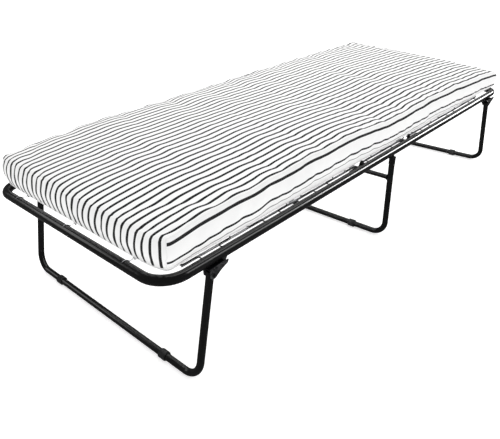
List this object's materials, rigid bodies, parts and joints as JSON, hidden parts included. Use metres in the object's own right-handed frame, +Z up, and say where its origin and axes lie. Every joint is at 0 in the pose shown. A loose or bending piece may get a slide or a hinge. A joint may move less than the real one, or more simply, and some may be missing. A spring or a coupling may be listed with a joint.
{
  "type": "folding guest bed",
  "caption": "Rollaway folding guest bed with a striped ticking mattress on a black tubular steel frame with U-shaped legs.",
  "frame": {"origin": "centre of the bed on the floor", "axes": "+X along the bed from head to foot, +Y across it from the near side to the far side, +Z up"},
  "size_m": [1.8992, 0.7868, 0.434],
  "materials": {
    "black_paint": "gloss black paint",
    "black_plastic": "moulded matte black",
    "zinc": "bright zinc plate",
    "ticking": "white ticking with thin black stripes"
  },
  "bodies": {
    "centre_frame": {"mattress_centre": "ticking", "centre_rail_near": "black_paint", "centre_rail_far": "black_paint", "hinge_link_near": "black_paint", "hinge_link_far": "black_paint", "middle_leg": "black_paint", "middle_cross_bar": "black_paint", "middle_leg_socket_near": "black_paint", "middle_leg_socket_far": "black_paint", "glide_middle_near": "black_plastic", "glide_middle_far": "black_plastic", "deck_wire_08": "black_paint", "deck_wire_09": "black_paint", "deck_wire_10": "black_paint"},
    "head_frame": {"mattress_head": "ticking", "head_rail": "black_paint", "hinge_ear_head_near": "black_paint", "hinge_ear_head_far": "black_paint", "leg_bracket_head_near": "black_paint", "leg_bracket_head_far": "black_paint", "leg_bolt_head_near": "zinc", "leg_bolt_head_far": "zinc", "deck_wire_01": "black_paint", "deck_wire_02": "black_paint", "deck_wire_03": "black_paint", "deck_wire_04": "black_paint", "deck_wire_05": "black_paint", "deck_wire_06": "black_paint", "deck_wire_07": "black_paint", "end_tie_head_1": "zinc", "end_tie_head_2": "zinc", "end_tie_head_3": "zinc", "edge_coil_head_near": "zinc", "edge_coil_head_far": "zinc"},
    "foot_frame": {"mattress_foot": "ticking", "foot_rail": "black_paint", "hinge_ear_foot_near": "black_paint", "hinge_ear_foot_far": "black_paint", "leg_bracket_foot_near": "black_paint", "leg_bracket_foot_far": "black_paint", "leg_bolt_foot_near": "zinc", "leg_bolt_foot_far": "zinc", "deck_wire_11": "black_paint", "deck_wire_12": "black_paint", "deck_wire_13": "black_paint", "deck_wire_14": "black_paint", "deck_wire_15": "black_paint", "deck_wire_16": "black_paint", "end_tie_foot_1": "zinc", "end_tie_foot_2": "zinc", "end_tie_foot_3": "zinc", "edge_coil_foot_near": "zinc", "edge_coil_foot_far": "zinc"},
    "head_leg_frame": {"head_leg": "black_paint", "glide_head_near": "black_plastic", "glide_head_far": "black_plastic"},
    "foot_leg_frame": {"foot_leg": "black_paint", "glide_foot_near": "black_plastic", "glide_foot_far": "black_plastic"}
  },
  "joints": [
    {"name": "head_fold", "type": "hinge", "parent": "centre_frame", "child": "head_frame", "pos_m": [-0.15, 0, 0.326], "axis": [0, 1, 0], "range_deg": [0, 90]},
    {"name": "foot_fold", "type": "hinge", "parent": "centre_frame", "child": "foot_frame", "pos_m": [0.15, 0, 0.326], "axis": [0, -1, 0], "range_deg": [0, 90]},
    {"name": "head_leg_fold", "type": "hinge", "parent": "head_frame", "child": "head_leg_frame", "pos_m": [-0.8126, 0, 0.2865], "axis": [0, -1, 0], "range_deg": [0, 103]},
    {"name": "foot_leg_fold", "type": "hinge", "parent": "foot_frame", "child": "foot_leg_frame", "pos_m": [0.8126, 0, 0.2865], "axis": [0, 1, 0], "range_deg": [0, 103]}
  ]
}
